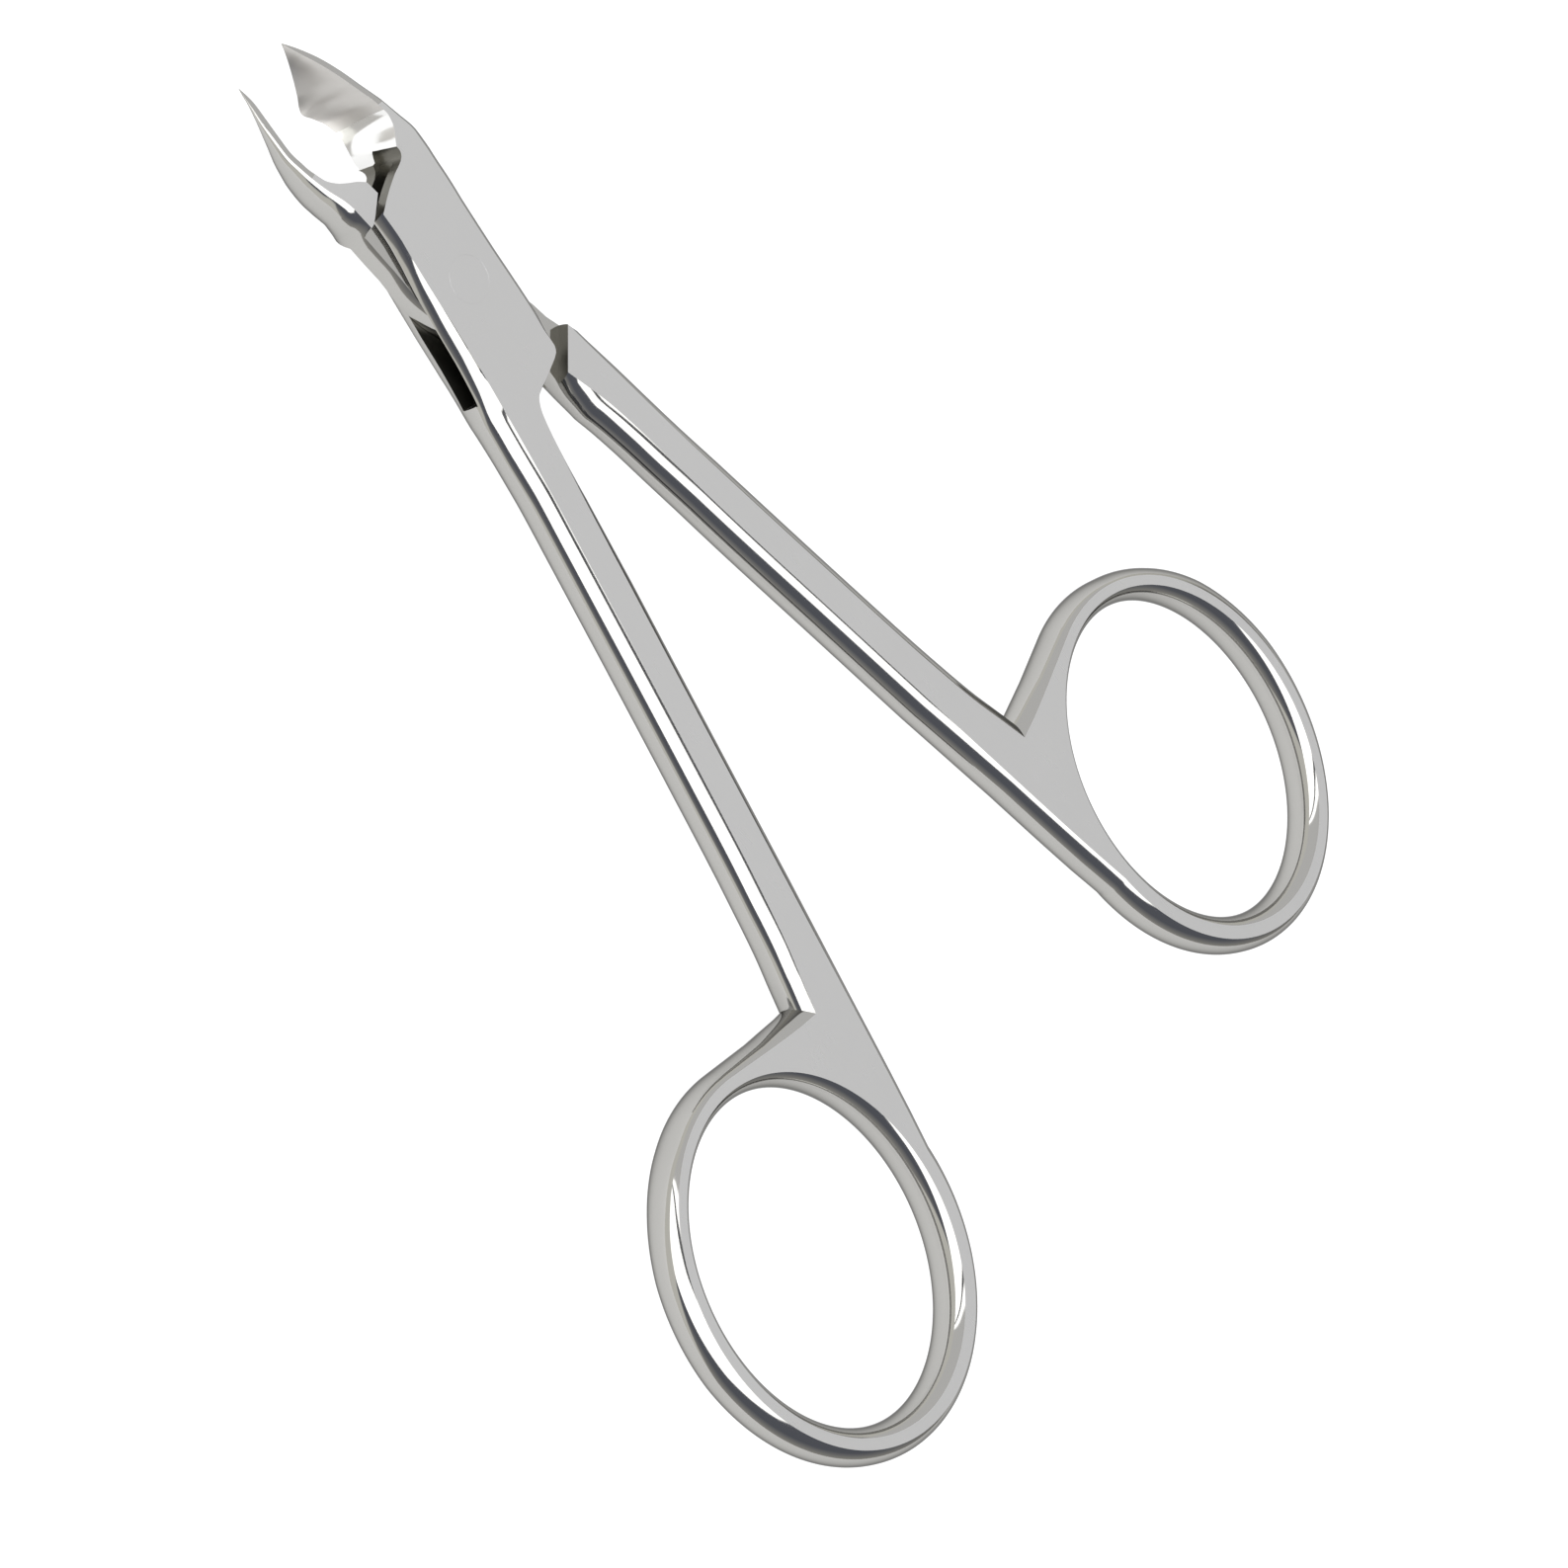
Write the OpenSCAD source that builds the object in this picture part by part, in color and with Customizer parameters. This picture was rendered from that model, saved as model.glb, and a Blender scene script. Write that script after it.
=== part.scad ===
// Scissor-handled cuticle nipper with a box joint.
// Two forged steel arms cross at a hidden rivet. The box arm has a slot through
// its box, and the tongue arm passes through that slot.
//
// Frame: millimetres, +Z out of the flat front face, +Y towards the jaw tips.
// The origin is on the rivet's axis, in the plane of the handles' back faces.
// Each arm is drawn in the shut position with the jaws meeting at x = 0, for the
// arm whose ring lies at +X. The box arm is its mirror image. Both arms are then
// swung open about the rivet.

/* [Overall] */
// Thickness of the arms from front face to back face
arm_t = 3.5; // [3.4:0.1:4]
// Splay of each handle from the centre line with the jaws shut, in degrees
splay = 4.6; // [4.4:0.1:6]
// Swing of each arm from shut to the rest position, in degrees
rest_open = 7.4; // [0:0.1:11]

/* [Handles] */
// Width of the flat on each handle
shank_flat = 2.5; // [2:0.1:3]
// How far the rounded sides stand out beyond the flat
side_bulge = 1; // [0.6:0.1:1.1]
// Distance of the handle's middle line from the rivet
shank_mid = 1.35; // [1.3:0.05:1.6]

/* [Finger rings] */
// Distance from the rivet to the ring's centre, along the handle
ring_reach = 73.8; // [72:0.1:80]
// Offset of the ring's centre to the outside of the handle
ring_offset = 13; // [12.9:0.1:13.5]
// Half the length of the oval, to the middle of the ring's bar
ring_long = 14.8; // [14.5:0.1:15]
// Half the width of the oval, to the middle of the ring's bar
ring_short = 12.3; // [12:0.1:12.6]
// Tilt of the oval's long axis away from the handle, in degrees
ring_tilt = 10.4; // [8:0.2:12]
// Width of the flat on the ring
ring_flat = 0.9; // [0.6:0.1:1.2]

/* [Box joint] */
// Thickness of each cheek of the box
cheek_t = 1; // [0.9:0.01:1.2]
// Gap between the tongue and each cheek
tongue_gap = 0.03; // [0.02:0.01:0.05]
// Radius of the rivet
rivet_r = 1.2; // [1:0.1:1.5]
// Radius of the rivet's countersunk heads
head_r = 1.8; // [1.6:0.1:2]
// Depth of the countersunk heads
head_depth = 0.5; // [0.4:0.1:0.8]
// Clearance of the rivet in the tongue, on the radius
rivet_clear = 0.03; // [0.01:0.01:0.08]

/* [Jaws] */
// Gap that is left between the cutting edges when the jaws are shut
edge_gap = 0.03; // [0.02:0.01:0.06]
// Sag of the hollow-ground face below a straight line
hollow_sag = 0.25; // [0:0.05:0.3]

/* [Hidden] */
$fn = 96;
cut = 0.02;

// Radii about the rivet: the box ends inside the first, the other arm's
// full thickness starts outside the second
box_end_r = 8.6;
pad_start_r = 9.2;

// Where the handle's bar starts, and where it runs into the web
shank_start = -8;
shank_end = -60;

// Four arcs make the oval: two small ones at its ends, two large ones at its sides
end_off = 4;
arc_step = end_off - (ring_long - ring_short);
side_off = (end_off * end_off - arc_step * arc_step) / (2 * arc_step);
end_r = ring_long - end_off;
side_r = ring_short + side_off;
end_half = atan2(side_off, end_off);
// The end arcs run this far into the side arcs, which are a hair slimmer
arc_lap = 1;
side_slim = 0.985;

// Side of a bar: an arc that meets the flat at a crisp edge
side_arc = 66;
side_steps = 6;

// Outlines in the handle's own frame: x outwards to the ring, -y along the handle
box_outline = [
    [4.4, 7.3], [4.2, 4.3], [3.9, -1.2], [3.6, -6.8], [3.5, -12.6], [2.9, -14.5],
    [0, -14.5], [-0.1, -11.7], [-0.3, -10.6], [-0.6, -9.9], [-2.9, -8.6],
    [-4.1, -7.6], [-3.4, 0.5], [-2.7, 8.5], [-2.6, 10]
];
slot_outline = [
    [9, -8.4], [-0.6, -8.4], [-0.6, -12.5], [-9, -12.5],
    [-9, 8.6], [0.3, 8.6], [0.3, 12.5], [9, 12.5]
];
tongue_half = [
    [-0.2, -11.5], [-0.3, -9], [-2.4, -4.5], [-3.4, -0.5],
    [-3.9, 2.2], [-3.7, 4.3], [-3.4, 6.6], [-2.9, 9.5]
];
shoulder_cut = [[-6, -13.8], [6, -6.9], [6, 4], [-6, 4]];

// What the box keeps outside its round front end: the jaw's side and the rear,
// in the shut frame
cheek_keep = [[-20, -40], [20, -40], [20, -5], [-0.4, -5], [-0.4, 20], [-20, 20]];

// Block that joins the tongue to its jaw, and how far it stays inside the arm's faces
pad_outline = [[-3.1, 8], [-0.55, 8], [-0.55, 9.8], [-3.1, 9.8]];
pad_inset = 0.1;

web_outline = [
    [-0.4, -56], [3.1, -56], [3.4, -58.9], [9.5, -59.1], [9, -60.8],
    [6.2, -62.6], [3.6, -65.1], [2.3, -67.5], [1.6, -70.5], [0.2, -71.5], [-0.3, -66]
];

// Jaw, one row per place along it: distance from the rivet, outer wall's x, its
// top and bottom z, the top land's inner x, and the edge's x and z
jaw_rows = [
    [9.3, -3.2, 3.3, 0, -0.45, -0.45, 0],
    [11, -3.15, 3.05, -0.5, -0.5, -0.5, -0.9],
    [12, -3.08, 2.75, -0.65, -1.85, -0.65, -1.3],
    [13, -2.97, 2.35, -0.75, -2.35, -0.85, -1.6],
    [14, -2.82, 1.9, -0.73, -2.38, -0.75, -2.3],
    [15.6, -2.48, 1.2, -0.55, -2.03, -edge_gap, -3],
    [17, -2.02, 0.82, -0.3, -1.55, -edge_gap, -2.3],
    [18.5, -1.4, 0.4, -0.15, -0.94, -edge_gap, -1.55],
    [19.7, -0.78, 0, -0.2, -0.4, -edge_gap, -1],
    [20.9, -0.12, -0.35, -0.45, -0.08, -edge_gap, -0.5]
];
hollow_steps = 5;
// The hollow has its full sag once the land and the face are this wide
hollow_land = 0.5;
hollow_face = 1.5;

// One row's section: outer wall, then the hollow face from the land to the edge
function hollow_point(r, t) =
    let (
        full = min(1, (r[4] - r[1]) / hollow_land, (r[5] - r[4]) / hollow_face),
        sag = hollow_sag * full * 4 * t * (1 - t)
    )
    [r[4] + (r[5] - r[4]) * t - sag, r[2] + (r[6] - r[2]) * t - sag];
function jaw_section(r) = concat(
    [[r[1], r[0], r[3]], [r[1], r[0], r[2]]],
    [for (i = [0:hollow_steps]) let (p = hollow_point(r, i / hollow_steps)) [p[0], r[0], p[1]]]
);

// Solid through a list of sections that all have the same number of points
module loft(sections) {
    n = len(sections[0]);
    last = len(sections) - 1;
    polyhedron(
        points = [for (s = sections) for (p = s) p],
        faces = concat(
            [[for (j = [0:n - 1]) j]],
            [[for (j = [n - 1:-1:0]) last * n + j]],
            [for (i = [0:last - 1]) for (j = [0:n - 1])
                let (a = i * n + j, b = i * n + (j + 1) % n)
                [a, a + n, b + n]],
            [for (i = [0:last - 1]) for (j = [0:n - 1])
                let (a = i * n + j, b = i * n + (j + 1) % n)
                [a, b + n, b]]
        )
    );
}

module jaw() {
    loft([for (r = jaw_rows) jaw_section(r)]);
}

// Cross-section of a handle or ring bar: flat faces, rounded sides
module bar_section(flat_w) {
    side = [for (a = [-side_arc:2 * side_arc / side_steps:side_arc]) [
        flat_w / 2 + side_bulge * (cos(a) - cos(side_arc)) / (1 - cos(side_arc)),
        arm_t / 2 * sin(a) / sin(side_arc)
    ]];
    polygon(concat(side, [for (p = side) -p]));
}

module shank() {
    translate([shank_mid, shank_start, arm_t / 2])
        rotate([90, 0, 0])
            linear_extrude(shank_start - shank_end) bar_section(shank_flat);
}

module ring_arc(turn, centre, radius, half_angle, slimming) {
    rotate(turn) translate([centre, 0, 0]) rotate(-half_angle)
        rotate_extrude(angle = 2 * half_angle)
            translate([radius, 0]) scale(slimming) bar_section(ring_flat);
}

module finger_ring() {
    translate([ring_offset, -ring_reach, arm_t / 2]) rotate(90 - ring_tilt) {
        for (turn = [0, 180]) ring_arc(turn, end_off, end_r, end_half + arc_lap, 1);
        for (turn = [90, 270]) ring_arc(turn, -side_off, side_r, 90 - end_half, side_slim);
    }
}

// Web that joins the handle to its ring, with the filed notch on the outside
module web() {
    linear_extrude(arm_t) polygon(web_outline);
}

module box_cheeks() {
    intersection() {
        rotate(splay) linear_extrude(arm_t) polygon(box_outline);
        union() {
            cylinder(r = box_end_r, h = arm_t);
            linear_extrude(arm_t) polygon(cheek_keep);
        }
    }
}

module tongue() {
    translate([0, 0, cheek_t + tongue_gap])
        linear_extrude(arm_t - 2 * (cheek_t + tongue_gap))
            polygon(concat(tongue_half, [for (p = tongue_half) -p]));
}

module tongue_pad() {
    difference() {
        translate([0, 0, pad_inset]) linear_extrude(arm_t - 2 * pad_inset) polygon(pad_outline);
        cylinder(r = pad_start_r, h = arm_t);
    }
}

// Rivet hole through both cheeks, opened out for the countersunk heads
module rivet_shape() {
    cylinder(r = rivet_r, h = arm_t);
    cylinder(r1 = head_r, r2 = rivet_r, h = head_depth);
    translate([0, 0, arm_t - head_depth]) cylinder(r1 = rivet_r, r2 = head_r, h = head_depth);
}

module box_arm() {
    color([0.76, 0.76, 0.75])
        rotate(-rest_open) mirror([1, 0, 0]) difference() {
            union() {
                box_cheeks();
                jaw();
                rotate(splay) {
                    shank();
                    web();
                    finger_ring();
                }
            }
            rotate(splay) translate([0, 0, cheek_t])
                linear_extrude(arm_t - 2 * cheek_t) polygon(slot_outline);
            rivet_shape();
        }
}

module tongue_arm() {
    color([0.72, 0.73, 0.74])
        rotate(rest_open) difference() {
            union() {
                tongue_pad();
                jaw();
                rotate(splay) {
                    tongue();
                    difference() {
                        shank();
                        translate([0, 0, -cut])
                            linear_extrude(arm_t + 2 * cut) polygon(shoulder_cut);
                    }
                    web();
                    finger_ring();
                }
            }
            translate([0, 0, -cut]) cylinder(r = rivet_r + rivet_clear, h = arm_t + 2 * cut);
        }
}

module pivot_rivet() {
    color([0.65, 0.65, 0.66]) rivet_shape();
}

box_arm();
tongue_arm();
pivot_rivet();
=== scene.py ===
"""Scissor-handled cuticle nipper: two polished steel arms on a box joint.

Shapes are drawn in millimetres and turned into metres when a mesh is made.
Each arm is drawn shut, for the arm whose ring lies at +X; the box arm is the mirror image.
"""
import math

import bmesh
import bpy
import numpy as np
from mathutils import Matrix, Vector


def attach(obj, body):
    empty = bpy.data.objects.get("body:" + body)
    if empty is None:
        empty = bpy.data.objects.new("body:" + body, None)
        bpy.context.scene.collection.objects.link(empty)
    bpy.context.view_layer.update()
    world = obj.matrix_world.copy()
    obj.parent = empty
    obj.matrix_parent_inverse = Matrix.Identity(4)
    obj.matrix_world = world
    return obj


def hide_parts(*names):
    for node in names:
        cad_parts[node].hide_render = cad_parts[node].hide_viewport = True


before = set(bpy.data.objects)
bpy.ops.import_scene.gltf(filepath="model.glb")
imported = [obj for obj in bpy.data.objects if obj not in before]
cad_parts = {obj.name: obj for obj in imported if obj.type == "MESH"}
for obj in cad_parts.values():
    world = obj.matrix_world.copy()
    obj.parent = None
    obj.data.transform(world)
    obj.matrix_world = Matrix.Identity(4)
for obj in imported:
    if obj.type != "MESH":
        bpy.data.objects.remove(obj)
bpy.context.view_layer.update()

MM = 0.001

# ---------------------------------------------------------------- sizes
ARM_T = 3.5
SPLAY = math.radians(4.6)  # of each handle from the centre line
REST_OPEN = math.radians(7.4)  # swing of each arm from shut to the rest pose
CHEEK_T = 1.0
TONGUE_GAP = 0.04
RIVET_R = 1.2
RIVET_BORE_R = 1.23
HEAD_R = 1.8
HEAD_DEPTH = 0.5
HAIRLINE = 0.004  # between the rivet's heads and the cheeks

# the finger rings: centre, long and short radius of the flat's outer and inner edge, tilt
OUTER_CENTRE, OUTER_RADII = (12.9, -73.85), (15.25, 12.78)
INNER_CENTRE, INNER_RADII = (13.04, -73.8), (14.34, 11.85)
RING_TILT = math.radians(10.4)
RING_FROM, RING_TO = 100, -176  # where the outer edge meets the handle, in degrees
OUTER_POINTS, INNER_POINTS = 190, 240
INNER_BULGE = 0.9

# a rounded side is an arc between the two flats
SIDE_ARC = math.radians(66)
SIDE_STEPS = 22

# distances from the rivet along the arm
JOIN_Y = 5.0  # the outline of the handle and box ends, the jaw's root starts
ROOT_Y = (5.6, 6.2, 6.8, 7.4, 8.0, 8.6, 9.2, 9.6)
JAW_Y, THROAT_Y, TIP_Y = 10.3, 15.6, 20.9
JAW_STEPS = 34
ACROSS_STEPS = 6
HOLLOW_SAG = 0.085  # of the face's width

# edges that turn by more degrees than this are crisp: within one finish, between two
CRISP_ANGLE, FINISH_ANGLE = 24, 9

# material slots of all pieces; the milled walls are painted dark, as shade in the recesses
FLAT, SIDE, HOLLOW, MILLED_SHADE, BRIGHT_HIGHLIGHT = range(5)


# ---------------------------------------------------------------- small helpers
def turn(p, angle):
    c, s = math.cos(angle), math.sin(angle)
    p = np.asarray(p, float)
    return np.stack([p[..., 0] * c - p[..., 1] * s, p[..., 0] * s + p[..., 1] * c], -1)


def curve(points, step):
    """Dense smooth line through the points (centripetal Catmull-Rom), ends included."""
    p = np.asarray(points, float)
    p = np.vstack([2 * p[0] - p[1], p, 2 * p[-1] - p[-2]])
    out = []
    for a, b, c, d in zip(p, p[1:], p[2:], p[3:]):
        gaps = [max(np.linalg.norm(v - u), 1e-6) ** 0.5 for u, v in ((a, b), (b, c), (c, d))]
        t = np.cumsum([0] + gaps)
        n = max(2, int(np.linalg.norm(c - b) / step))
        for x in np.linspace(t[1], t[2], n, endpoint=False):
            l1 = a * (t[1] - x) / (t[1] - t[0]) + b * (x - t[0]) / (t[1] - t[0])
            l2 = b * (t[2] - x) / (t[2] - t[1]) + c * (x - t[1]) / (t[2] - t[1])
            l3 = c * (t[3] - x) / (t[3] - t[2]) + d * (x - t[2]) / (t[3] - t[2])
            m1 = l1 * (t[2] - x) / (t[2] - t[0]) + l2 * (x - t[0]) / (t[2] - t[0])
            m2 = l2 * (t[3] - x) / (t[3] - t[1]) + l3 * (x - t[1]) / (t[3] - t[1])
            out.append(m1 * (t[2] - x) / (t[2] - t[1]) + m2 * (x - t[1]) / (t[2] - t[1]))
    out.append(p[-2])
    return np.array(out)


def table(rows, at):
    """Rows of numbers, the first being the place, smoothly interpolated (monotone cubic)."""
    r = np.asarray(rows, float)
    x, y = r[:, 0], r[:, 1:]
    h = np.diff(x)[:, None]
    d = np.diff(y, axis=0) / h
    m = np.zeros_like(y)
    m[0], m[-1] = d[0], d[-1]
    same = d[:-1] * d[1:] > 0
    w1, w2 = 2 * h[1:] + h[:-1], h[1:] + 2 * h[:-1]
    with np.errstate(divide="ignore", invalid="ignore"):
        m[1:-1] = np.where(same, (w1 + w2) / (w1 / d[:-1] + w2 / d[1:]), 0)
    k = np.clip(np.searchsorted(x, at, side="right") - 1, 0, len(x) - 2)
    t = (at - x[k]) / h[k, 0]
    return (y[k] * (2 * t**3 - 3 * t**2 + 1) + m[k] * h[k] * (t**3 - 2 * t**2 + t)
            + y[k + 1] * (-2 * t**3 + 3 * t**2) + m[k + 1] * h[k] * (t**3 - t**2))


def along(rows, at):
    """Amounts at the given places, in straight lines between rows of place and amount."""
    places, amounts = np.transpose(rows)
    return np.interp(at, places, amounts)


def oval(centre, radii, start, end, n):
    """Points of a ring's oval, whose long axis is tilted away from the handle."""
    long_r, short_r = radii
    a = np.linspace(start, end, n)
    p = np.stack([short_r * np.cos(a), long_r * np.sin(a)], -1)
    return turn(p, -RING_TILT) + np.asarray(centre)


def miter(path, closed=False):
    """Outward offset vector at each point of a path that has the steel on its right."""
    p = np.asarray(path, float)
    if closed:
        e = np.roll(p, -1, 0) - p
    else:
        e = np.diff(p, axis=0)
    n = np.stack([-e[:, 1], e[:, 0]], -1)
    n /= np.linalg.norm(n, axis=1)[:, None]
    if closed:
        a, b = np.roll(n, 1, 0), n
    else:
        a, b = np.vstack([n[:1], n]), np.vstack([n, n[-1:]])
    return (a + b) / (1 + (a * b).sum(1))[:, None]


# ---------------------------------------------------------------- outlines of the flats
# Handle frame: x outwards to the ring, -y along the handle. Left is the ring's side.
HANDLE_LEFT = [(2.52, -24), (2.5, -32), (2.52, -40), (2.6, -48), (2.85, -53.5), (3.15, -56.2)]
HANDLE_RIGHT = [(0.08, -69.5), (0.04, -66), (0.03, -60), (0.05, -50), (0.08, -40), (0.1, -30)]
RING_NOTCH = [(3.45, -59.0)]
NOTCH_TO_RING = [(5.4, -59.05), (7.2, -59.0), (8.9, -58.92)]

BOX_LEFT = [(3.86, 5), (3.75, 3), (3.58, 0.8), (3.38, -1.2), (3.17, -3.5), (3.0, -5.7),
            (2.85, -8.8), (2.74, -11.25), (2.65, -13.7), (2.56, -17), (2.54, -20.5)]
BOX_RIGHT = [(0.1, -22), (0.08, -17), (-0.02, -13.4), (-0.12, -11.6), (-0.3, -10.55)]
BOX_REAR = [(-0.75, -9.75), (-1.9, -9.15), (-3.1, -8.5), (-3.95, -7.95)]
BOX_SIDE = [(-4.15, -7.45), (-3.98, -6.3), (-3.82, -4.2), (-3.5, -1.6), (-3.2, 0.6),
            (-2.92, 3), (-2.7, 5)]

TONGUE_LEFT = [(2.2, 5), (2.42, 2.4), (2.5, 0.2), (2.55, -2.2), (2.56, -4.3), (2.72, -6.0),
               (2.72, -7.4), (2.92, -8.6), (2.85, -11), (2.76, -14), (2.62, -18), (2.54, -21)]
TONGUE_RIGHT = [(0.25, -22), (0.36, -18), (0.3, -14.5), (0.05, -12.2), (-0.15, -10.6),
                (-0.3, -9.6), (-0.42, -8.9), (-0.64, -8.0), (-1.12, -7), (-2.2, -4.6),
                (-2.82, -2), (-3.1, 0.5), (-3.08, 2.2), (-2.9, 3.5), (-2.77, 5)]

# how far the left and right sides stand out beyond the flat: place along the handle, amount
BOX_BULGE = ([(-60, 1.15), (-50, 1.35), (-25, 1.4), (-16, 1.4), (-12.5, 1.5), (-9.5, 1.5),
              (-7.5, 1.25), (-4.6, 1.1), (-2, 1.05), (1, 0.88), (3.3, 0.68), (5, 0.65)],
             [(-60, 1.1), (-50, 1.2), (-25, 1.2), (-18, 1.0), (-14, 0.6), (-12, 0.42),
              (-10.5, 0.25), (-9.75, 0.45), (-9.15, 0.4), (-8.5, 0.26), (-7.95, 0.15),
              (-7.45, 0.2), (-6.3, 0.7), (-5, 1.0), (5, 1.0)])
TONGUE_BULGE = ([(-60, 1.15), (-50, 1.2), (-25, 1.2), (-14, 1.0), (-9.5, 0.8), (-8.6, 0.15),
                 (5, 0.15)],
                [(-60, 1.15), (-50, 1.4), (-25, 1.4), (-16, 1.55), (-14, 1.6), (-11.8, 1.1),
                 (-10.2, 0.5), (-9.3, 0.08), (-8, 0.05), (-7, 0.25), (-6, 0.45), (-3, 0.9),
                 (0, 1.0), (3.3, 0.92), (5, 0.72)])
# the same round the ring, by angle: outer side at 0, end at -90, inner side at -180
RING_BULGE = [(-180, 1.1), (-120, 0.95), (-60, 1.05), (0, 1.35), (30, 1.2), (50, 0.85),
              (70, 0.62), (100, 0.7)]
NOTCH_TO_RING_BULGE = (1.1, 1.0, 0.85)

# slant of the sides, wider towards the back: place along the handle, amount
BOX_SLANT = [(-10, 0), (-7.5, 0.2), (-4.6, 0.35), (-2, 0.45), (1, 0.5), (3.3, 0.7), (5, 0.7)]
TONGUE_SLANT = [(-4, 0), (0, 0.9), (3.3, 1.43), (5, 1.25)]
# fullness of the box's ring side
BOX_FULL = [(-12.5, 1), (-8.5, 0.5), (-5, 0.3), (5, 0.3)]

# jaw stations: y, outer edge x, inner top x, cutting side x, top z, outer bottom z,
# cutting side z, outer bulge
JAW = [
    (10.3, -3.18, -0.35, -0.12, 3.45, -0.15, -0.80, 1.00),
    (10.8, -3.17, -0.75, -0.13, 3.38, -0.32, -0.92, 0.94),
    (11.2, -3.15, -1.10, -0.22, 3.26, -0.45, -1.02, 0.90),
    (11.6, -3.12, -1.56, -0.38, 3.06, -0.55, -1.14, 0.86),
    (12.2, -3.07, -2.10, -0.60, 2.72, -0.68, -1.35, 0.80),
    (13.0, -2.98, -2.42, -0.82, 2.34, -0.75, -1.62, 0.70),
    (14.0, -2.82, -2.40, -0.80, 1.90, -0.74, -2.20, 0.60),
    (14.8, -2.66, -2.24, -0.50, 1.54, -0.66, -2.70, 0.50),
    (15.6, -2.48, -2.06, -0.03, 1.20, -0.55, -3.00, 0.42),
    (17.0, -2.02, -1.58, -0.03, 0.82, -0.30, -2.30, 0.30),
    (18.5, -1.40, -0.96, -0.03, 0.35, -0.20, -1.60, 0.20),
    (19.7, -0.78, -0.42, -0.03, -0.12, -0.35, -1.12, 0.10),
    (20.4, -0.38, -0.18, -0.03, -0.48, -0.60, -0.90, 0.05),
    (20.8, -0.12, -0.08, -0.03, -0.70, -0.78, -0.80, 0.01),
]

# levels of a rounded side, from the front flat to the back one: share of the bulge, height
PROFILE_A = np.linspace(SIDE_ARC, -SIDE_ARC, SIDE_STEPS + 1)
PROFILE_OUT = (np.cos(PROFILE_A) - math.cos(SIDE_ARC)) / (1 - math.cos(SIDE_ARC))
PROFILE_Z = 0.5 + 0.5 * np.sin(PROFILE_A) / math.sin(SIDE_ARC)


# ---------------------------------------------------------------- meshes
class Solid:
    """Mesh in millimetres that is welded where its parts meet."""

    def __init__(self):
        self.bm = bmesh.new()

    def verts(self, points):
        return [self.bm.verts.new(p) for p in points]

    def grid(self, rows, material, closed=False):
        """Quads between rows of vertices."""
        n = len(rows[0])
        for a, b in zip(rows, rows[1:] + ([rows[0]] if closed else [])):
            for j in range(n - 1):
                f = self.bm.faces.new((a[j], a[j + 1], b[j + 1], b[j]))
                f.material_index = material

    def fill(self, loops, material):
        """Flat face inside the first loop and outside the second."""
        edges = []
        for loop in loops:
            for a, b in zip(loop, loop[1:] + loop[:1]):
                edges.append(self.bm.edges.get((a, b)) or self.bm.edges.new((a, b)))
        for f in bmesh.ops.triangle_fill(self.bm, use_beauty=True, edges=edges)["geom"]:
            if isinstance(f, bmesh.types.BMFace):
                f.material_index = material

    def across(self, a, b):
        """Row of vertices from one vertex to another, both included."""
        between = [np.array(a.co) * (1 - t) + np.array(b.co) * t
                   for t in np.linspace(0, 1, ACROSS_STEPS + 1)[1:-1]]
        return [a] + self.verts(between) + [b]

    def section(self, left, right):
        """The four sides of a section; left and right run from the front to the back."""
        return {"left": left, "right": right, "top": self.across(left[0], right[0]),
                "bottom": self.across(left[-1], right[-1])}

    def link(self, a, b, top, bottom, left):
        """The four walls between two sections; the right one is always a polished side."""
        for part, material in (("left", left), ("right", SIDE), ("top", top), ("bottom", bottom)):
            self.grid([a[part], b[part]], material)

    def object(self, name, place):
        bmesh.ops.remove_doubles(self.bm, verts=self.bm.verts, dist=1e-5)
        bmesh.ops.dissolve_degenerate(self.bm, edges=self.bm.edges, dist=1e-5)
        bmesh.ops.transform(self.bm, matrix=place, verts=self.bm.verts)
        bmesh.ops.recalc_face_normals(self.bm, faces=self.bm.faces)
        bmesh.ops.scale(self.bm, vec=(MM,) * 3, verts=self.bm.verts)
        me = bpy.data.meshes.new(name)
        self.bm.to_mesh(me)
        self.bm.free()
        o = bpy.data.objects.new(name, me)
        bpy.context.scene.collection.objects.link(o)
        for m in MATERIALS:
            me.materials.append(m)
        return o


def side_out(bulge, slant, fullness=1.0):
    """How far each level of a side stands out: an arc that leans towards the back.

    A fullness below 1 squares up the arc's back half.
    """
    arc = np.where(PROFILE_Z > 0.5, PROFILE_OUT, np.maximum(PROFILE_OUT, 0) ** fullness)
    return bulge * arc + slant * (0.5 - PROFILE_Z) * np.minimum(1, 6 * arc)


def column(p, off, bulge, slant=0.0, fullness=1.0):
    """One upright row of points on the side, at a point of the flat's outline."""
    return [(p[0] + off[0] * o, p[1] + off[1] * o, ARM_T * z)
            for o, z in zip(side_out(bulge, slant, fullness), PROFILE_Z)]


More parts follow.
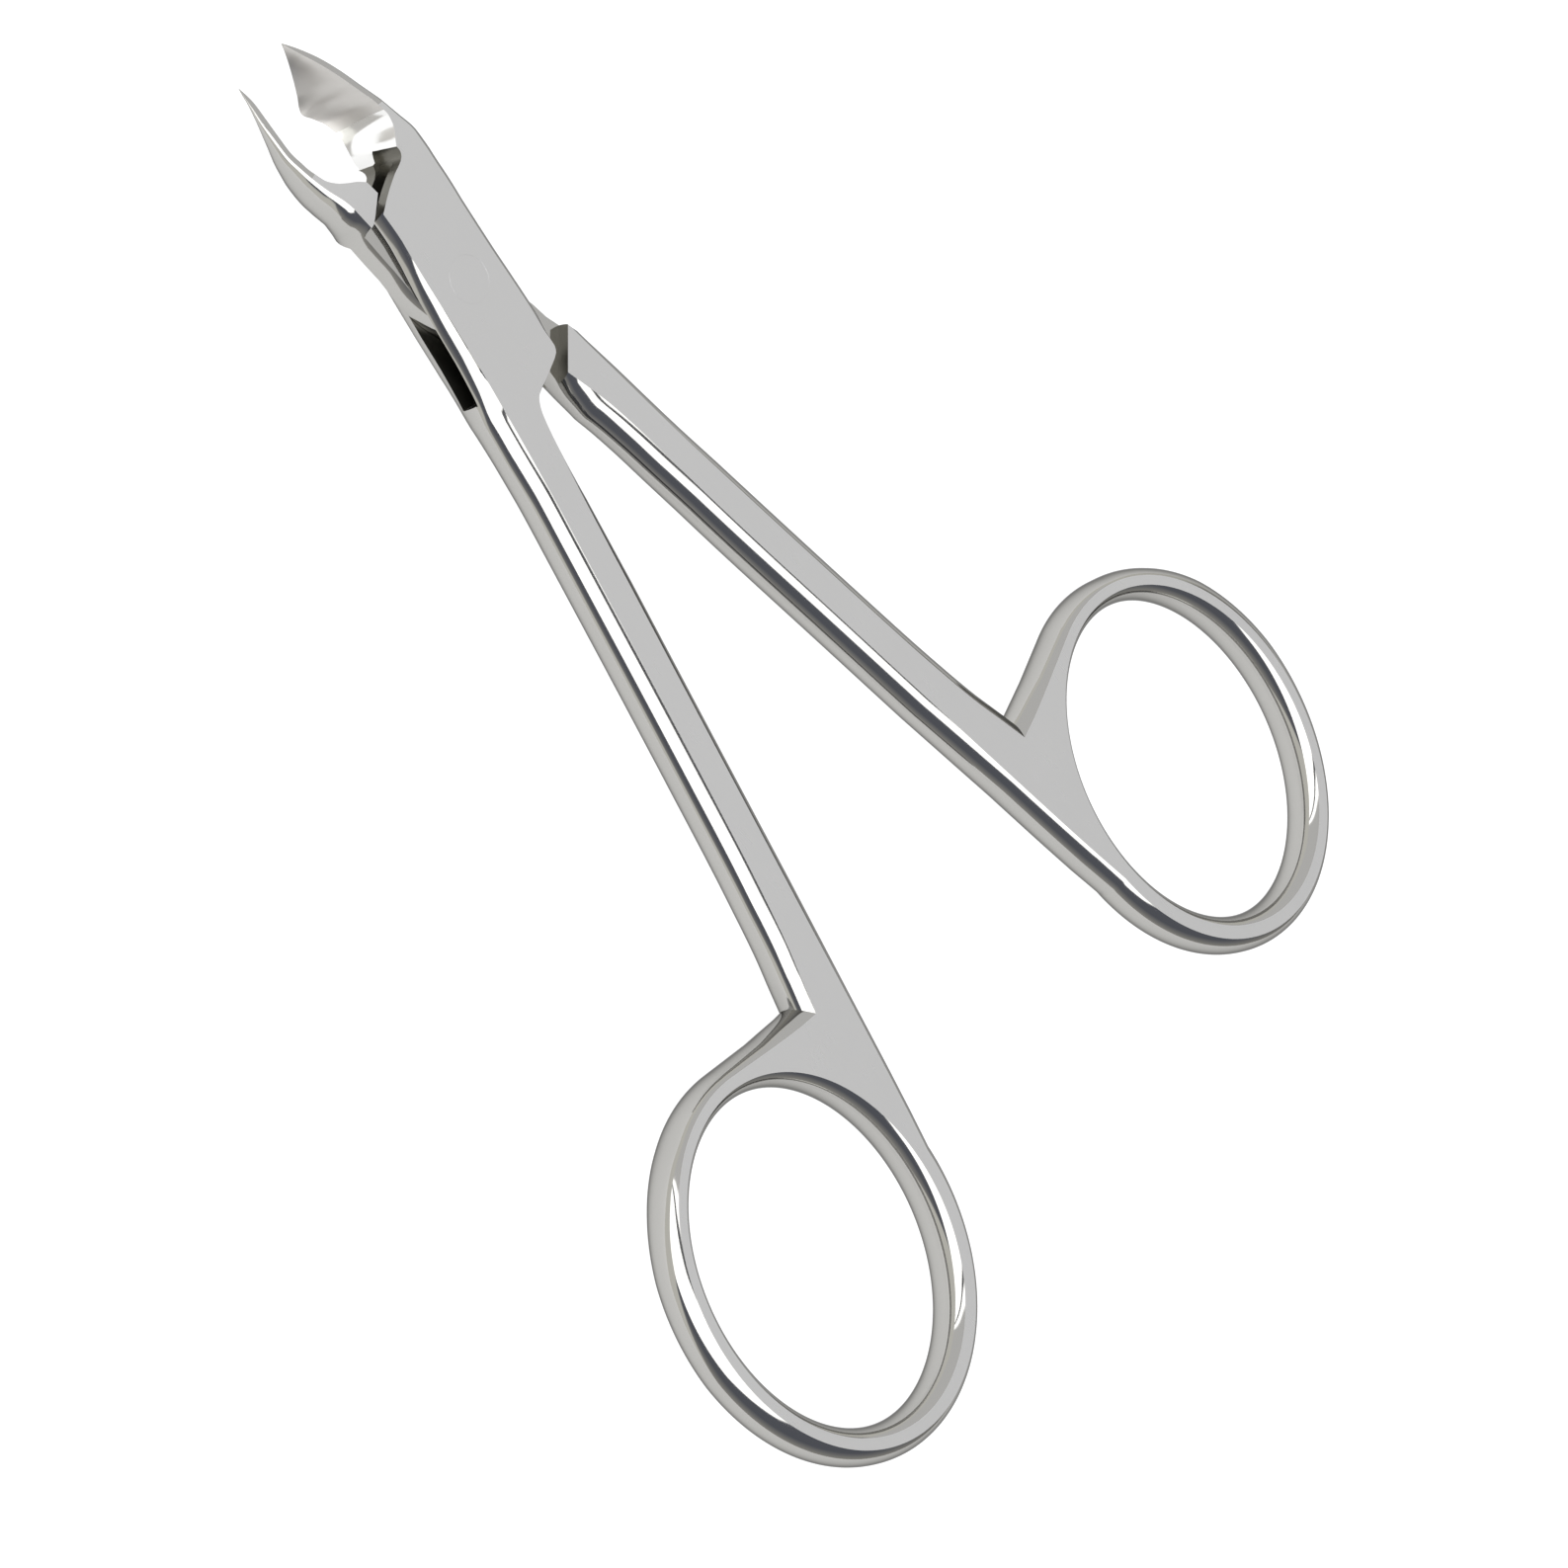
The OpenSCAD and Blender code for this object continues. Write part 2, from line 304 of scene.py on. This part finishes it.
def flat_outline(left, right, bulges, slants):
    """Outline of an arm's flat: down the left side, round the ring and up the right side.

    Returns the points, with the side's bulge, slant and fullness at each.
    """
    down = curve(left + HANDLE_LEFT, 0.5)
    ring = oval(OUTER_CENTRE, OUTER_RADII, math.radians(RING_FROM), math.radians(RING_TO),
                OUTER_POINTS)
    up = curve(HANDLE_RIGHT + right, 0.5)
    path = np.vstack([down, RING_NOTCH, NOTCH_TO_RING, ring, up])
    ring_end = len(path) - len(up)
    ring_start = ring_end - len(ring)
    on_left, on_right = slice(0, len(down)), slice(ring_end, None)
    y = path[:, 1]
    bulge = along(bulges[0], y)
    bulge[on_right] = along(bulges[1], y[on_right])
    bulge[ring_start:ring_end] = along(RING_BULGE, np.linspace(RING_FROM, RING_TO, OUTER_POINTS))
    bulge[ring_start - len(NOTCH_TO_RING):ring_start] = NOTCH_TO_RING_BULGE
    slant = np.zeros(len(path))
    for rows, part in zip(slants, (on_left, on_right)):
        if rows:
            slant[part] = along(rows, y[part])
    full = np.ones(len(path))
    if slants[0]:
        full[on_left] = along(BOX_FULL, y[on_left])
    keep = np.r_[True, np.linalg.norm(np.diff(path, axis=0), axis=1) > 1e-4]
    return path[keep], bulge[keep], slant[keep], full[keep]


def jaw_sides(y, shift):
    """Left and right side of the jaw at one place; the left one is the hollow-ground face."""
    xo, xi, xe, zt, zb, ze, bulge = table(JAW, y)
    xo += shift * max(0.0, 1 - (y - JAW_Y) / 3.5)  # fades out along the jaw
    right = [(xo - bulge * o, y, zb + (zt - zb) * z) for o, z in zip(PROFILE_OUT, PROFILE_Z)]
    k = np.linspace(0, 1, len(PROFILE_Z))
    width = math.hypot(xe - xi, zt - ze)
    # the hollow starts behind the jaw's root and runs out at the tip
    face = min(1.0, max(0.0, (y - 11.0) / 1.5)) * min(1.0, (TIP_Y - y) / 2.0)
    sag = HOLLOW_SAG * width * face * 4 * k * (1 - k)
    nx, nz = -(zt - ze) / width, -(xe - xi) / width
    left = [(xi + (xe - xi) * q + nx * g, y, zt + (ze - zt) * q + nz * g) for q, g in zip(k, sag)]
    return left, right


def arm_solid(left, right, name, place, bulges, slants, root):
    """Whole outside of an arm: handle, ring, box or tongue region and jaw, in one skin.

    root is the left side's x at the jaw's root, the outer edge's shift, and the outer
    side's slant and bulge. The root is wide on the left until its inner side is cut away.
    """
    s = Solid()
    path, bulge, slant, full = flat_outline(left, right, bulges, slants)
    off = turn(miter(path), SPLAY)
    cols = [s.verts(column(*c)) for c in zip(turn(path, SPLAY), off, bulge, slant, full)]
    s.grid(cols, SIDE)
    hole = oval(INNER_CENTRE, INNER_RADII, 0, 2 * math.pi, INNER_POINTS + 1)[:-1]
    off = turn(miter(hole, closed=True), SPLAY)
    hole_cols = [s.verts(column(p, m, INNER_BULGE)) for p, m in zip(turn(hole, SPLAY), off)]
    s.grid(hole_cols, SIDE, closed=True)
    previous = s.section(cols[0], cols[-1])
    for level, edge in ((0, "top"), (-1, "bottom")):
        s.fill([[c[level] for c in cols] + previous[edge][-2:0:-1],
                [c[level] for c in hole_cols]], FLAT)

    # y, left x, right x, share of the splay, and the right side's slant and bulge
    root_left, shift, root_slant, root_bulge = root
    rows = [(JOIN_Y, left[0][0], right[-1][0], 1.0, slant[-1], bulge[-1]),
            (8.0, root_left, -2.98 + shift, 0.45, root_slant, root_bulge),
            (9.6, root_left, -3.18 + shift, 0.05, root_slant / 4, 1.0)]
    for y in ROOT_Y:
        xl, xr, splay, slant_out, bulge_out = table(rows, y)
        past = max(0.0, y - 8.6)  # from here the faces slope to the jaw's
        zt, zb = ARM_T - 0.02 * past ** 2, -0.05 * past
        left_out = side_out(bulge[0], slant[0], full[0])
        right_out = side_out(bulge_out, slant_out)
        sides = []
        for x in (xl + left_out, xr - right_out):
            xy = turn(np.c_[x, np.full(len(x), y)], SPLAY * splay)
            sides.append(s.verts(np.c_[xy, zb + (zt - zb) * PROFILE_Z]))
        row = s.section(*sides)
        s.link(previous, row, FLAT, FLAT, SIDE)
        previous = row
    for y in np.concatenate([np.linspace(JAW_Y, THROAT_Y, JAW_STEPS),
                             np.linspace(THROAT_Y, TIP_Y, JAW_STEPS)[1:]]):
        row = s.section(*(s.verts(side) for side in jaw_sides(y, shift)))
        # the satin flats end first below, then above, and the hollow face starts in between; ahead
        # of the hollow the inner side is the bright facet, a painted highlight
        s.link(previous, row, SIDE if y > 13.8 else FLAT, SIDE if y > 10.9 else FLAT,
               HOLLOW if y > 13.2 else BRIGHT_HIGHLIGHT)
        previous = row
    tip = s.bm.faces.new(previous["left"][::-1] + previous["top"][1:-1] + previous["right"]
                         + previous["bottom"][-2:0:-1])
    tip.material_index = SIDE
    return s.object(name, place)


def prism(outline, z0, z1, place, wall=MILLED_SHADE, cap=MILLED_SHADE, far=None, round_sides=()):
    """Closed cutter over an outline that runs anticlockwise.

    far is the outline at z1 if it differs; round_sides are the sides whose long edges
    are rounded.
    """
    s = Solid()
    a = s.verts([(x, y, z0) for x, y in outline])
    b = s.verts([(x, y, z1) for x, y in (outline if far is None else far)])
    s.bm.faces.new(a[::-1]).material_index = cap
    s.bm.faces.new(b).material_index = cap
    for i in range(len(a)):
        j = (i + 1) % len(a)
        s.bm.faces.new((a[i], a[j], b[j], b[i])).material_index = wall
    rounded = []
    for i in round_sides:
        j = (i + 1) % len(a)
        rounded += [s.bm.edges.get((a[i], a[j])), s.bm.edges.get((b[i], b[j]))]
    if rounded:
        bmesh.ops.bevel(s.bm, geom=rounded, offset=0.35, segments=6, profile=0.5, affect="EDGES")
    return s.object("cutter", place)


def lathe(name, profile, place, material):
    """Closed solid turned about the rivet's axis from (radius, height) points."""
    s = Solid()
    steps = 96
    angles = np.linspace(0, 2 * math.pi, steps, endpoint=False)
    rings = [s.verts([(*turn((r, 0), a), z) for a in angles]) for r, z in profile]
    for a, b in zip(rings, rings[1:]):
        for i in range(steps):
            j = (i + 1) % steps
            s.bm.faces.new((a[i], a[j], b[j], b[i])).material_index = material
    s.bm.faces.new(rings[0][::-1]).material_index = material
    s.bm.faces.new(rings[-1]).material_index = material
    return s.object(name, place)


def cut(obj, cutter):
    """Takes the cutter's shape out of the object, and removes the cutter."""
    mod = obj.modifiers.new("cut", "BOOLEAN")
    mod.object = cutter
    mod.operation = "DIFFERENCE"
    mod.solver = "EXACT"
    dg = bpy.context.evaluated_depsgraph_get()
    me = bpy.data.meshes.new_from_object(obj.evaluated_get(dg))
    obj.modifiers.clear()
    old = obj.data
    obj.data = me
    bpy.data.meshes.remove(old)
    bpy.data.objects.remove(cutter)


def crisp(obj):
    """Smooth shading, with hard edges where the surface turns sharply."""
    bm = bmesh.new()
    bm.from_mesh(obj.data)
    bmesh.ops.remove_doubles(bm, verts=bm.verts, dist=1e-8)
    for f in bm.faces:
        f.smooth = True
    for e in bm.edges:
        finishes = {f.material_index for f in e.link_faces}
        limit = math.radians(CRISP_ANGLE if len(finishes) == 1 else FINISH_ANGLE)
        e.smooth = len(e.link_faces) == 2 and e.calc_face_angle(0) <= limit
    bm.to_mesh(obj.data)
    bm.free()


# ---------------------------------------------------------------- materials
def steel(name, base, rough, grain_scale, grain_stretch, grain_bump,
          wave=0.0, scratch=0.0, edge=1.0, mottle=0.02):
    """Steel with grain, slow polishing waves, faint scratches and smudges.

    grain_bump, wave and scratch are heights in metres; edge tints grazing reflections.
    """
    m = bpy.data.materials.new(name)
    m.use_nodes = True
    nt = m.node_tree
    nt.nodes.clear()
    new, connect = nt.nodes.new, nt.links.new
    out = new("ShaderNodeOutputMaterial")
    shader = new("ShaderNodeBsdfPrincipled")
    connect(shader.outputs[0], out.inputs[0])
    shader.inputs["Metallic"].default_value = 1.0
    shader.inputs["Specular Tint"].default_value = (edge, edge, edge, 1)
    place = new("ShaderNodeTexCoord").outputs["Object"]

    def noise(scale, stretch=(1, 1, 1), detail=2.0, roughness=0.5):
        mp = new("ShaderNodeMapping")
        mp.inputs["Scale"].default_value = [scale * k for k in stretch]
        connect(place, mp.inputs[0])
        t = new("ShaderNodeTexNoise")
        t.inputs["Scale"].default_value = 1.0
        t.inputs["Detail"].default_value = detail
        t.inputs["Roughness"].default_value = roughness
        connect(mp.outputs[0], t.inputs["Vector"])
        return t.outputs["Fac"]

    def remap(value, from_min, from_max, to_min, to_max):
        r = new("ShaderNodeMapRange")
        r.inputs["From Min"].default_value = from_min
        r.inputs["From Max"].default_value = from_max
        r.inputs["To Min"].default_value = to_min
        r.inputs["To Max"].default_value = to_max
        connect(value, r.inputs["Value"])
        return r.outputs["Result"]

    def bump(height, distance, normal=None):
        b = new("ShaderNodeBump")
        b.inputs["Strength"].default_value = 1.0
        b.inputs["Distance"].default_value = distance
        connect(height, b.inputs["Height"])
        if normal:
            connect(normal, b.inputs["Normal"])
        return b.outputs[0]

    tone = new("ShaderNodeMix")
    tone.data_type = "RGBA"
    tone.inputs[6].default_value = [c * (1 - mottle) for c in base] + [1]
    tone.inputs[7].default_value = [min(1, c * (1 + mottle)) for c in base] + [1]
    connect(noise(140), tone.inputs[0])
    connect(tone.outputs[2], shader.inputs["Base Color"])
    grain = noise(grain_scale, grain_stretch)
    smudge = noise(260, detail=5, roughness=0.6)
    gloss = new("ShaderNodeMath")
    gloss.operation = "ADD"
    connect(remap(grain, 0.3, 0.7, -rough * 0.08, rough * 0.08), gloss.inputs[0])
    connect(remap(smudge, 0.3, 0.7, rough * 0.94, rough * 1.07), gloss.inputs[1])
    connect(gloss.outputs[0], shader.inputs["Roughness"])
    normal = bump(grain, grain_bump)
    if scratch:
        lines = remap(noise(900, (1, 0.06, 1), detail=1), 0.68, 0.72, 0.0, -1.0)
        normal = bump(lines, scratch, normal)
    if wave:
        normal = bump(noise(170, (1, 0.35, 1), detail=1), wave, normal)
    connect(normal, shader.inputs["Normal"])
    return m


MATERIALS = [
    steel("satin_flat", (0.568, 0.566, 0.563), 0.30, 5200, (1, 0.05, 1), 0.8e-7, mottle=0.012),
    # the polished sides' steel is darker than the flats' and its grazing reflections are tinted
    # dark: painted shade, for the dim surroundings the sides reflect and the shade at their lower
    # edges
    steel("mirror_side_painted_shade", (0.42, 0.415, 0.40), 0.07, 2600, (1, 0.2, 1), 0.3e-7, wave=4e-6,
          scratch=1e-8, edge=0.3),
    steel("hollow_ground", (0.58, 0.565, 0.545), 0.34, 4200, (0.08, 1, 0.3), 1.2e-7, wave=2e-6),
    # very dark steel on the milled walls of the slot, notches and bores: painted shade for these
    # recesses, not the steel's own colour
    steel("milled_slot_painted_shade", (0.16, 0.155, 0.135), 0.32, 3000, (1, 0.1, 1), 3e-7, mottle=0.08),
    # steel much brighter than the other finishes, on the jaw root's inner face: a painted
    # highlight
    steel("bright_facet_painted_highlight", (0.86, 0.86, 0.85), 0.14, 2600, (1, 0.2, 1), 0.3e-7, wave=3e-6),
]

# ---------------------------------------------------------------- the box arm
PAST = 8  # how far past the faces the cutters reach
BOX_TURN = Matrix.Rotation(-REST_OPEN, 4, "Z")
BOX_PLACE = BOX_TURN @ Matrix.Diagonal((-1, 1, 1, 1))
box_arm = arm_solid(BOX_LEFT, BOX_RIGHT + BOX_REAR + BOX_SIDE, "arm_with_box", BOX_PLACE,
                    BOX_BULGE, (BOX_SLANT, None), (3.98, 0.25, 0.0, 1.0))

# the notch in front of the box, where the other jaw's root swings; it is shallower below
# the ledge
LEDGE_Z = 0.95
NOTCH = curve([(3.56, 7.63), (2.19, 8.56), (0.71, 9.36), (0.1, 9.6), (-0.36, 9.82),
               (-0.64, 10.08), (-0.76, 10.4), (-0.74, 10.72), (-0.58, 11.05), (-0.3, 11.3),
               (0.1, 11.5)], 0.12).tolist()
LEDGE = curve([(3.56, 7.63), (2.3, 8.45), (1.3, 9.0), (0.6, 9.4), (0.2, 9.75), (0.05, 10.2),
               (0.03, 10.7), (0.08, 11.2)], 0.15).tolist()
for inner, bottom, top in ((LEDGE, -PAST, LEDGE_Z), (NOTCH, LEDGE_Z, PAST)):
    outline = ([(14, 2.5), (14, 14), (1.2, 14), (0.6, 11.7)] + inner[::-1]
               + [(4.6, 6.93), (6.5, 5.9)])
    cut(box_arm, prism(outline, bottom, top, BOX_PLACE))

# the slot through the box, with rounded rear corners
slot_outline = turn([(9, -8.1), (9, 12.5), (0.3, 12.5), (0.3, 8.6), (-9, 8.6), (-9, -12.5),
                     (-0.6, -12.5), (-0.6, -8.1)], SPLAY)
cut(box_arm, prism(slot_outline, CHEEK_T, ARM_T - CHEEK_T, BOX_PLACE, round_sides=(5, 7)))

# the rivet hole, whose countersinks run on past both faces
flare = 2 * (HEAD_R - RIVET_R) + RIVET_R
cut(box_arm, lathe("cutter", [(flare, -HEAD_DEPTH), (RIVET_R, HEAD_DEPTH),
                              (RIVET_R, ARM_T - HEAD_DEPTH), (flare, ARM_T + HEAD_DEPTH)],
                   BOX_PLACE, FLAT))
crisp(box_arm)

# ---------------------------------------------------------------- the tongue arm
TONGUE_PLACE = Matrix.Rotation(REST_OPEN, 4, "Z")
tongue_arm = arm_solid(TONGUE_LEFT, TONGUE_RIGHT, "arm_with_tongue", TONGUE_PLACE,
                       TONGUE_BULGE, (None, TONGUE_SLANT), (2.0, 0.12, 1.38, 0.6))

# the inner side of the jaw's root
cut(tongue_arm, prism([(-0.62, 14), (-0.62, 9.0), (0.35, 7.4), (14, 7.4), (14, 14)],
                      -PAST, PAST, TONGUE_PLACE, SIDE))

# what is milled away above and below the tongue, from the shoulder to the jaw's root; the
# root's wall differs at the front face, beside the tongue and at the back face
shoulder = [tuple(p) for p in turn([(-6, -13.8), (6, -6.9)], SPLAY)]
shoulder += [(12, -6), (12, 6), (3, 8.6), (0.4, 9.75)]
root_front = [(-0.6, 9.5), (-2.2, 8.68), (-2.8, 8.42), (-3.3, 8.42), (-3.7, 8.45), (-6, 8.7),
              (-12, 9)]
root_inside = [(-0.6, 9.48), (-2.2, 8.64), (-2.8, 8.32), (-3.3, 8.1), (-3.7, 7.9), (-6, 8.0),
               (-12, 8.3)]
root_back = [(-0.6, 9.9), (-2.2, 9.6), (-2.8, 9.52), (-3.3, 9.48), (-3.7, 9.45), (-6, 9.4),
             (-12, 9.4)]
front, inside, rear = (shoulder + wall + [(-12, -12)]
                       for wall in (root_front, root_inside, root_back))
depth = CHEEK_T + TONGUE_GAP
# these milled walls take the dark finish: painted shade in the recesses beside the tongue
cut(tongue_arm, prism(inside, ARM_T - depth, ARM_T + 0.01, TONGUE_PLACE, MILLED_SHADE, SIDE, far=front))
cut(tongue_arm, prism(rear, -0.5, depth, TONGUE_PLACE, MILLED_SHADE, SIDE, far=inside))
cut(tongue_arm, lathe("cutter", [(RIVET_BORE_R, -1), (RIVET_BORE_R, 5)], TONGUE_PLACE, MILLED_SHADE))
crisp(tongue_arm)

# ---------------------------------------------------------------- the rivet, ground flush
head, pin = HEAD_R - HAIRLINE, RIVET_R - 0.01
rivet = lathe("pivot_rivet_flush", [(head - HAIRLINE, 0), (head, HAIRLINE), (pin, HEAD_DEPTH),
                                    (pin, ARM_T - HEAD_DEPTH), (head, ARM_T - HAIRLINE),
                                    (head - HAIRLINE, ARM_T)], BOX_TURN, FLAT)
crisp(rivet)

for o, node, body, slot in ((box_arm, "box_arm", "box_half", "ground_steel"),
                            (tongue_arm, "tongue_arm", "tongue_half", "polished_steel"),
                            (rivet, "pivot_rivet", "box_half", "rivet_steel")):
    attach(o, body)
    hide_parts(node)

# ---------------------------------------------------------------- floor
FLOOR_HALF, FLOOR_Z = 3.0, -0.0031  # metres; just under the jaws
floor_mat = bpy.data.materials.new("pale_floor")
floor_mat.use_nodes = True
fb = floor_mat.node_tree.nodes["Principled BSDF"]
fb.inputs["Base Color"].default_value = (0.25, 0.25, 0.25, 1)
fb.inputs["Roughness"].default_value = 0.6
fb.inputs["Emission Color"].default_value = (1, 1, 1, 1)
fb.inputs["Emission Strength"].default_value = 0.86
fb.inputs["Specular IOR Level"].default_value = 0.2
me = bpy.data.meshes.new("floor")
corners = [(-1, -1), (1, -1), (1, 1), (-1, 1)]
me.from_pydata([(x * FLOOR_HALF, y * FLOOR_HALF, FLOOR_Z) for x, y in corners], [], [(0, 1, 2, 3)])
floor = bpy.data.objects.new("floor", me)
me.materials.append(floor_mat)
bpy.context.scene.collection.objects.link(floor)

# ---------------------------------------------------------------- light, all of it from the world
world = bpy.data.worlds.new("studio")
bpy.context.scene.world = world
world.use_nodes = True
wn = world.node_tree
bg = wn.nodes["Background"]


def world_math(operation, a, b):
    n = wn.nodes.new("ShaderNodeMath")
    n.operation = operation
    for socket, value in zip(n.inputs, (a, b)):
        if isinstance(value, (int, float)):
            socket.default_value = value
        else:
            wn.links.new(value, socket)
    return n.outputs[0]


def world_step(value, off, on):
    """0 where the value is at off or beyond it, 1 where it is at on or beyond it."""
    n = wn.nodes.new("ShaderNodeMapRange")
    n.inputs["From Min"].default_value, n.inputs["From Max"].default_value = off, on
    wn.links.new(value, n.inputs["Value"])
    return n.outputs["Result"]


def world_mix(factor, a, b):
    """a where the factor is 0, b where it is 1; each a colour or a socket."""
    n = wn.nodes.new("ShaderNodeMix")
    n.data_type = "RGBA"
    wn.links.new(factor, n.inputs[0])
    for socket, value in ((n.inputs[6], a), (n.inputs[7], b)):
        if isinstance(value, tuple):
            socket.default_value = (*value, 1)
        else:
            wn.links.new(value, socket)
    return n.outputs[2]


# A pale room: bright overhead and low on the far side, darker between, with one strong
# panel above the left and a dark slit in it.
WALL_LOW, WALL_HIGH = (0.50, 0.49, 0.46), (0.17, 0.18, 0.215)
FAR_SIDE, CEILING = (1.02, 1.01, 0.95), (0.95, 0.95, 0.95)
PANEL, SLIT = (3.1, 3.1, 3.1), (0.14, 0.145, 0.16)
direction = wn.nodes.new("ShaderNodeTexCoord").outputs["Generated"]
axes = wn.nodes.new("ShaderNodeSeparateXYZ")
wn.links.new(direction, axes.inputs[0])
dx, dy, dz = (axes.outputs[axis] for axis in "XYZ")
height = world_math("ADD", dz, world_math("MULTIPLY", dy, 0.3))
height = world_math("ADD", height, world_math("MULTIPLY", world_math("MAXIMUM", dx, 0.0), 0.35))
low = world_math("ADD", dz, world_math("MULTIPLY", dy, -0.68))
sideways = world_math("ADD", dx, world_math("MULTIPLY", dy, 0.3))
sideways = world_math("DIVIDE", sideways, world_math("MAXIMUM", dz, 0.05))
slit = world_math("MULTIPLY", world_step(sideways, -0.285, -0.27),
                  world_step(sideways, -0.185, -0.2))
walls = world_mix(world_step(dz, 0.0, 0.42), WALL_LOW, WALL_HIGH)
lower = world_mix(world_step(low, 0.21, 0.13), walls, FAR_SIDE)
overhead = world_mix(world_step(sideways, -0.03, -0.07), CEILING, PANEL)
overhead = world_mix(slit, overhead, SLIT)
room = world_mix(world_step(height, 0.578, 0.60), lower, overhead)
wn.links.new(room, bg.inputs["Color"])
bg.inputs["Strength"].default_value = 1.0

# ---------------------------------------------------------------- camera
cam_data = bpy.data.cameras.new("camera")
cam_data.lens, cam_data.sensor_width = 161.85, 36
cam_data.clip_start, cam_data.clip_end = 0.01, 20
cam = bpy.data.objects.new("camera", cam_data)
right = Vector((0.50427, -0.57289, 0.64616))
up = Vector((0.64573, 0.74697, 0.15833))
rotation = Matrix((right, up, right.cross(up))).transposed().to_4x4()
cam.matrix_world = Matrix.Translation((-0.3000, 0.1298, 0.3874)) @ rotation
bpy.context.scene.collection.objects.link(cam)
bpy.context.scene.camera = cam
bpy.context.scene.view_settings.view_transform = "Standard"
